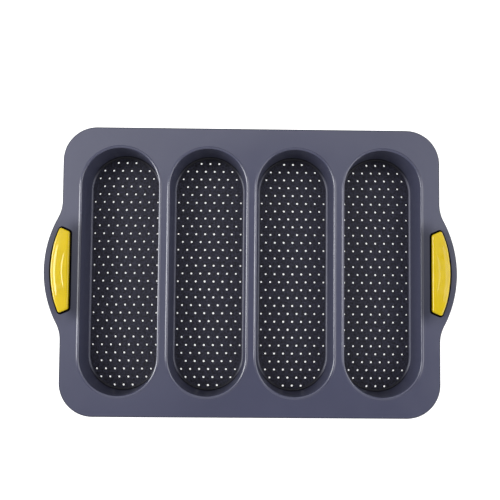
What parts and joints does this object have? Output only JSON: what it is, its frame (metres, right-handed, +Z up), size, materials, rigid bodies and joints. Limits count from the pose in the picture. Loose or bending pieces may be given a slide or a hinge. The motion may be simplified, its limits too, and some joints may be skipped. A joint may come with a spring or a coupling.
{
  "type": "baguette tray",
  "caption": "Rectangular silicone tray with round-ended, flat-bottomed perforated wells, a raised bead round each mouth, and a soft grip set in a bulging lug at each end.",
  "frame": {"origin": "middle of the footprint, on the surface the tray stands on, level with the undersides of the wells", "axes": "+X along the tray from the left lug to the right lug, +Y along the wells towards the back, +Z up out of the wells"},
  "size_m": [0.3974, 0.278, 0.0358],
  "materials": {
    "silicone": "satin",
    "frame_steel": "satin",
    "grip": "gloss"
  },
  "bodies": {
    "root": {"tray_body": "silicone", "rim_frame": "frame_steel", "grip_left": "grip", "grip_right": "grip"}
  },
  "joints": []
}
